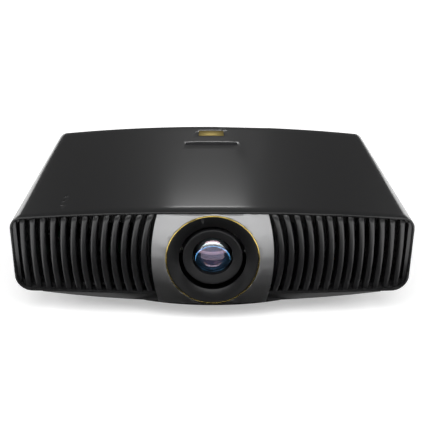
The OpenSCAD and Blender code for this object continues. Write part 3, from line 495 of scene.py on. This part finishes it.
SOFTENED = [
    # piece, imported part, body, finish, edge width in mm
    ("lid", "top_cover", "case", "case", 1.2), ("lower_tub", "lower_housing", "case", "case", 0.8),
    ("back_panel", "rear_panel", "case", "case", 0.5), ("lens_panel", "lens_fascia", "case", "panel", 0.25),
    ("lens_ring", "trim_ring", "case", "gold", 0.4), ("lens_surround", "lens_dish", "case", "gloss", 0.4),
    ("keypad_bezel", "keypad_frame", "case", "window", 0.5), ("lid_plate", "badge_plate", "case", "badge", 0.25),
    ("power_cap", "power_key", "power_button", "key", 0.5), ("menu_cap", "menu_key", "menu_button", "key", 0.5),
    ("ok_cap", "ok_key", "ok_button", "key", 0.5), ("up_cap", "up_key", "up_button", "key", 0.5),
    ("down_cap", "down_key", "down_button", "key", 0.5), ("left_cap", "left_key", "left_button", "key", 0.5),
    ("right_cap", "right_key", "right_button", "key", 0.5),
    ("left_pad", "left_foot_pad", "left_front_pad", "rubber", 0.8),
    ("right_pad", "right_foot_pad", "right_front_pad", "rubber", 0.8),
    ("rear_pads", "rear_feet", "case", "rubber", 0.8), ("front_cell", "focus_cell", "focus_group", "cell", 0.3),
    ("inlet", "mains_inlet", "case", "motor", 0.3), ("sockets", "io_sockets", "case", "socket", 0.15),
]


class PROJECTOR_OT_case(bpy.types.Operator):
    """Makes the case, trim, keys, feet and sockets with rounded edges"""
    bl_idname = "projector.case"
    bl_label = "Case and trim"

    def execute(self, context):
        for name, node, body, key, width in SOFTENED:
            softened(name, node, body, key, width * MM)
        return {"FINISHED"}


def group_tree(name, fields):
    """An empty Geometry Nodes tree with named inputs; gives the tree, its helper and its input sockets."""
    tree = bpy.data.node_groups.new(name, "GeometryNodeTree")
    for field, kind, value in fields:
        socket = tree.interface.new_socket(name=field, in_out="INPUT", socket_type=kind)
        if value is not None:
            socket.default_value = value
    tree.interface.new_socket(name="Geometry", in_out="OUTPUT", socket_type="NodeSocketGeometry")
    t = Tree(tree)
    source = t.node("NodeGroupInput", out=None)
    return tree, t, {field: source.outputs[field] for field, _, _ in fields}


def finish_tree(t, geometry, material):
    """Ends a tree: real meshes, one finish."""
    real = t.node("GeometryNodeRealizeInstances", {"Geometry": geometry})
    real = t.node("GeometryNodeSetMaterial", {"Geometry": real, "Material": material})
    t.node("NodeGroupOutput", {"Geometry": real}, out=None)


def run_tree(name, tree, values, body, *nodes):
    """Runs a Geometry Nodes tree once and keeps its result as a plain piece."""
    obj = bpy.data.objects.new(name, bpy.data.meshes.new(name))
    bpy.context.scene.collection.objects.link(obj)
    mod = obj.modifiers.new(tree.name, "NODES")
    mod.node_group = tree
    for item in tree.interface.items_tree:
        if item.item_type == "SOCKET" and item.in_out == "INPUT" and item.name in values:
            mod[item.identifier] = values[item.name]
    bpy.context.view_layer.update()
    mesh = bpy.data.meshes.new_from_object(obj.evaluated_get(bpy.context.evaluated_depsgraph_get()))
    bpy.data.objects.remove(obj)
    made = piece(name, mesh, body, None, *nodes)
    smooth(mesh, 50)
    return made


def louvre_tree():
    """Bowed blades between the case's lower ledge and its crowned lid, each with a rounded, slanting nose."""
    f, n = "NodeSocketFloat", "NodeSocketInt"
    tree, t, v = group_tree("louvre_blades", [
        ("Blades", n, 13), ("Pitch", f, 0.0123), ("Width", f, 0.0076), ("First", f, 0.088), ("Nose", f, 0.0016),
        ("Side", f, 1.0), ("Front", f, 0.0), ("Back", f, 0.1), ("Lens height", f, 0.083), ("Bow first", f, 0.171),
        ("Bow last", f, 0.844), ("Plan radius", f, 2.085), ("Face radius", f, 0.6), ("Face height", f, 0.095),
        ("Ledge", f, 0.03), ("Top", f, 0.14), ("Crown radius", f, 2.7), ("Half width", f, 0.24),
        ("Edge radius", f, 0.013), ("Belly radius", f, 0.017), ("Side top", f, 0.13), ("Side bottom", f, 0.03),
        ("Material", "NodeSocketMaterial", None)])
    add, sub, mul, div = t.add, t.sub, t.mul, t.div
    root = lambda a: t.math("SQRT", t.math("MAXIMUM", a, 0.0))
    square = lambda a: mul(a, a)
    clamp = lambda a: t.math("MINIMUM", t.math("MAXIMUM", a, 0.0), 1.0)
    inside = 0.006  # how far inside the lid and the lower housing a blade's place is read
    tuck_height = 0.007  # of the part under the lid that leans back
    square_edge, slant_share, tuck_share = 7.0, 1.1, 1.4
    cube = t.node("GeometryNodeMeshCube", {"Size": (1, 1, 1), "Vertices X": 13, "Vertices Y": 5,
                                           "Vertices Z": 45})
    place = t.node("GeometryNodeInputPosition")
    cube = t.node("GeometryNodeStoreNamedAttribute", {"Geometry": cube, "Name": "local", "Value": place},
                  data_type="FLOAT_VECTOR", domain="POINT")
    points = t.node("GeometryNodePoints", {"Count": v["Blades"]})
    blades = t.node("GeometryNodeInstanceOnPoints", {"Points": points, "Instance": cube})
    row = t.node("GeometryNodeInputIndex")
    blades = t.node("GeometryNodeStoreNamedAttribute", {"Geometry": blades, "Name": "row", "Value": row},
                    data_type="FLOAT", domain="INSTANCE")
    mesh = t.node("GeometryNodeRealizeInstances", {"Geometry": blades})
    local = t.node("GeometryNodeInputNamedAttribute", {"Name": "local"}, out=None, data_type="FLOAT_VECTOR")
    row = t.node("GeometryNodeInputNamedAttribute", {"Name": "row"}, out=None, data_type="FLOAT")
    local = next(o for o in local.outputs if o.enabled and o.name == "Attribute")
    row = next(o for o in row.outputs if o.enabled and o.name == "Attribute")
    xyz = t.node("ShaderNodeSeparateXYZ", [local], out=None)
    across, deep, tall = (xyz.outputs[k] for k in "XYZ")
    bend = add(div(1.0, v["Bow first"]), mul(sub(div(1.0, v["Bow last"]), div(1.0, v["Bow first"])),
                                             div(row, sub(v["Blades"], 1.0))))
    radius = div(1.0, bend)
    x0 = add(v["First"], mul(row, v["Pitch"]))
    inner = sub(radius, mul(sub(0.5, across), v["Width"]))

    def x_at(z):
        return add(sub(x0, radius), root(sub(square(inner), square(sub(z, v["Lens height"])))))

    xt = x_at(sub(v["Side top"], inside))
    crown = add(sub(v["Top"], v["Crown radius"]), root(sub(square(v["Crown radius"]), square(xt))))
    over = t.math("MAXIMUM", sub(xt, sub(v["Half width"], v["Edge radius"])), 0.0)
    corner = add(sub(v["Side top"], v["Edge radius"]), root(sub(square(v["Edge radius"]), square(over))))
    flat = t.math("LESS_THAN", over, 0.00001)
    z1 = t.math("MINIMUM", crown, add(corner, flat))
    xb = x_at(add(v["Side bottom"], inside))
    over = t.math("MAXIMUM", sub(xb, sub(v["Half width"], v["Belly radius"])), 0.0)
    corner = sub(add(v["Side bottom"], v["Belly radius"]), root(sub(square(v["Belly radius"]), square(over))))
    z0 = t.math("MAXIMUM", v["Ledge"], corner)
    z = add(z0, mul(sub(z1, z0), add(tall, 0.5)))
    x = x_at(z)
    face = add(v["Front"], add(div(square(x), mul(v["Plan radius"], 2.0)),
                               div(square(sub(z, v["Face height"])), mul(v["Face radius"], 2.0))))
    edge = t.math("POWER", mul(t.math("ABSOLUTE", across), 2.0), square_edge)
    slant = clamp(div(sub(across, 0.02), 0.48))
    tuck = clamp(div(sub(z, sub(z1, tuck_height)), tuck_height))
    nose = mul(v["Nose"], add(add(edge, mul(square(slant), slant_share)),
                               mul(square(tuck), tuck_share)))
    face = add(face, nose)
    y = add(face, mul(sub(v["Back"], face), add(deep, 0.5)))
    spot = t.node("ShaderNodeCombineXYZ", [mul(x, v["Side"]), y, z])
    mesh = t.node("GeometryNodeSetPosition", {"Geometry": mesh, "Position": spot})
    left = t.math("LESS_THAN", v["Side"], 0.0)
    mesh = t.node("GeometryNodeFlipFaces", {"Mesh": mesh, "Selection": left})
    finish_tree(t, mesh, v["Material"])
    return tree


class PROJECTOR_OT_louvres(bpy.types.Operator):
    """Makes the bowed louvre blades on both sides of the lens panel"""
    bl_idname = "projector.louvres"
    bl_label = "Louvres"

    def execute(self, context):
        s = sizes()
        inset = s.wall + 0.0003
        tree = louvre_tree()
        back = high("left_grille").y
        for side, name, node in ((-1.0, "left_louvres", "left_grille"), (1.0, "right_louvres", "right_grille")):
            values = {
                "Blades": s.blade_count, "Pitch": s.blade_pitch, "Width": s.blade_width, "First": s.blade_first,
                "Nose": s.blade_nose, "Side": side, "Front": NOSE_Y + 0.0059, "Back": back - 0.006,
                "Lens height": LENS_Z, "Ledge": low(node).z, "Top": TOP_Z - inset,
                "Crown radius": crown_radius() - inset, "Half width": HALF_W - inset,
                "Edge radius": s.edge_radius - inset,
                "Belly radius": s.belly_radius - inset, "Side top": TOP_Z - s.crown - inset,
                "Side bottom": SHELL_Z + inset, "Material": MATERIALS["louvre"]}
            run_tree(name, tree, values, "case", node)
            # the rails behind the blades and the post at the case's corner
            bm = bmesh.new()
            bm.from_mesh(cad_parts[node].data)
            bmesh.ops.remove_doubles(bm, verts=bm.verts, dist=MERGE)
            rails = [f for f in bm.faces if f.calc_center_median().y < back - 0.0082
                     and abs(f.calc_center_median().x) < HALF_W - s.wall - 0.0055]
            bmesh.ops.delete(bm, geom=rails, context="FACES")
            mesh = bpy.data.meshes.new(name + "_rails")
            bm.to_mesh(mesh)
            bm.free()
            piece(name + "_rails", mesh, "case", "louvre", node)
            smooth(mesh, 30)
        return {"FINISHED"}


def lathe(name, profile, segments=96, closed=False):
    """A mesh turned about the lens axis from (radius, y) pairs."""
    bm = bmesh.new()
    rings = []
    for r, y in profile:
        if r < 1e-6:
            rings.append([bm.verts.new((LENS_X, y, LENS_Z))])
        else:
            rings.append([bm.verts.new((LENS_X + r * math.cos(a), y, LENS_Z + r * math.sin(a)))
                          for a in (2 * math.pi * i / segments for i in range(segments))])
    pairs = list(zip(rings, rings[1:])) + ([(rings[-1], rings[0])] if closed else [])
    for a, b in pairs:
        for i in range(segments):
            j = (i + 1) % segments
            quad = [a[i % len(a)], a[j % len(a)], b[j % len(b)], b[i % len(b)]]
            quad = list(dict.fromkeys(quad))
            if len(quad) > 2:
                bm.faces.new(quad)
    bmesh.ops.recalc_face_normals(bm, faces=bm.faces)
    mesh = bpy.data.meshes.new(name)
    bm.to_mesh(mesh)
    bm.free()
    return mesh


def screw_tree():
    """Countersunk screws with a six-sided recess, one for each place along a side."""
    f, n = "NodeSocketFloat", "NodeSocketInt"
    tree, t, v = group_tree("case_screw_heads", [
        ("Screws", n, 3), ("Head radius", f, 0.003), ("Head height", f, 0.002), ("Shank radius", f, 0.0015),
        ("Length", f, 0.012), ("Across", f, 0.228), ("Base", f, 0.03), ("First", f, -0.118), ("Step", f, 0.138),
        ("Material", "NodeSocketMaterial", None)])
    head = t.node("GeometryNodeMeshCylinder", {"Vertices": 32, "Radius": v["Head radius"],
                                               "Depth": v["Head height"]})
    key = t.node("GeometryNodeMeshCylinder", {"Vertices": 6, "Radius": t.mul(v["Head radius"], 0.55),
                                              "Depth": t.mul(v["Head height"], 1.2)})
    drop = t.node("ShaderNodeCombineXYZ", [0.0, 0.0, t.mul(v["Head height"], -0.5)])
    key = t.node("GeometryNodeTransform", {"Geometry": key, "Translation": drop})
    head = t.node("GeometryNodeMeshBoolean", {"Mesh 1": head, "Mesh 2": key}, operation="DIFFERENCE")
    shank = t.node("GeometryNodeMeshCylinder", {"Vertices": 24, "Radius": v["Shank radius"], "Depth": v["Length"]})
    lift = t.node("ShaderNodeCombineXYZ", [0.0, 0.0, t.mul(v["Length"], 0.5)])
    shank = t.node("GeometryNodeTransform", {"Geometry": shank, "Translation": lift})
    join = t.node("GeometryNodeJoinGeometry", out=None)
    t.tree.links.new(head, join.inputs[0])
    t.tree.links.new(shank, join.inputs[0])
    row = t.node("GeometryNodeInputIndex")
    side = t.sub(t.mul(t.math("MODULO", row, 2.0), 2.0), 1.0)
    place = t.node("ShaderNodeCombineXYZ", [t.mul(side, v["Across"]), t.add(v["First"], t.mul(
        t.math("FLOOR", t.mul(row, 0.5)), v["Step"])), v["Base"]])
    points = t.node("GeometryNodePoints", {"Count": t.node("FunctionNodeFloatToInt", [t.mul(v["Screws"], 2.0)]),
                                           "Position": place})
    screws = t.node("GeometryNodeInstanceOnPoints", {"Points": points, "Instance": join.outputs[0]})
    finish_tree(t, screws, v["Material"])
    return tree


class PROJECTOR_OT_screws(bpy.types.Operator):
    """Makes the screws that hold the two halves of the case"""
    bl_idname = "projector.screws"
    bl_label = "Case screws"

    def execute(self, context):
        lo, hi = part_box("case_screws")
        radius, head = 0.003, 0.002
        values = {"Screws": 3, "Head radius": radius, "Head height": head, "Length": hi.z - lo.z - head,
                  "Across": hi.x - radius, "Base": lo.z + head / 2, "First": lo.y + radius,
                  "Step": (hi.y - lo.y - 2 * radius) / 2,
                  "Material": MATERIALS["steel"]}
        run_tree("screws", screw_tree(), values, "case", "case_screws")
        return {"FINISHED"}


class PROJECTOR_OT_lens(bpy.types.Operator):
    """Makes the lens elements and the fine rings of their cell"""
    bl_idname = "projector.lens"
    bl_label = "Lens"

    def execute(self, context):
        y = LENS_Y
        bulge = lambda r, big: big - math.sqrt(big * big - r * r)
        rim = 0.0268
        # front element: strongly curved face, flat back
        steps = [rim * i / 14 for i in range(15)]
        profile = [(r, y + 0.0006 + bulge(r, 0.032)) for r in steps]
        profile += [(rim, y + 0.0162), (0.0, y + 0.0162)]
        mesh = lathe("front_element", profile)
        smooth(piece("front_element", mesh, "focus_group", "front_glass", "front_glass").data, 30)
        # second element: a dished, blue-coated face that closes the view into the barrel
        profile = [(r * 0.9, y + 0.0300 - bulge(r * 0.9, 0.030)) for r in steps]
        profile += [(rim * 0.9, y + 0.0315), (0.0, y + 0.0315)]
        mesh = lathe("second_element", profile)
        smooth(piece("second_element", mesh, "focus_group", "coated").data, 30)
        # retaining ring with fine steps in front of the glass
        profile, r0 = [], 0.0272
        for i in range(5):
            r = r0 + i * 0.0015
            depth = y + 0.0052 - i * 0.0009
            profile += [(r, depth), (r + 0.0011, depth), (r + 0.0013, depth - 0.0004)]
        profile += [(r0 + 0.0074, y + 0.0068), (r0, y + 0.0068)]
        mesh = lathe("retaining_ring", profile, closed=True)
        smooth(piece("retaining_ring", mesh, "focus_group", "cell").data, 25)
        return {"FINISHED"}


OPERATORS = [PROJECTOR_OT_finishes, PROJECTOR_OT_case, PROJECTOR_OT_louvres,
             PROJECTOR_OT_screws, PROJECTOR_OT_lens, PROJECTOR_OT_stage]


class PROJECTOR_PT_panel(bpy.types.Panel):
    """Lists the steps that build the projector"""
    bl_idname = "PROJECTOR_PT_panel"
    bl_label = "Projector"
    bl_space_type = "VIEW_3D"
    bl_region_type = "UI"
    bl_category = "Projector"

    def draw(self, context):
        for operator in OPERATORS:
            self.layout.operator(operator.bl_idname)
        for group in (sizes(), colours()):
            for key in group.bl_rna.properties.keys():
                if key not in ("rna_type", "name"):
                    self.layout.prop(group, key)


CLASSES = [ProjectorSizes, ProjectorColours, *OPERATORS, PROJECTOR_PT_panel]


def register():
    for cls in CLASSES:
        bpy.utils.register_class(cls)
    bpy.types.Scene.projector_sizes = bpy.props.PointerProperty(type=ProjectorSizes)
    bpy.types.Scene.projector_colours = bpy.props.PointerProperty(type=ProjectorColours)


def unregister():
    del bpy.types.Scene.projector_colours
    del bpy.types.Scene.projector_sizes
    for cls in reversed(CLASSES):
        bpy.utils.unregister_class(cls)


def main():
    register()
    for cls in OPERATORS:
        group, name = cls.bl_idname.split(".")
        getattr(getattr(bpy.ops, group), name)()


if __name__ == "__main__":
    main()
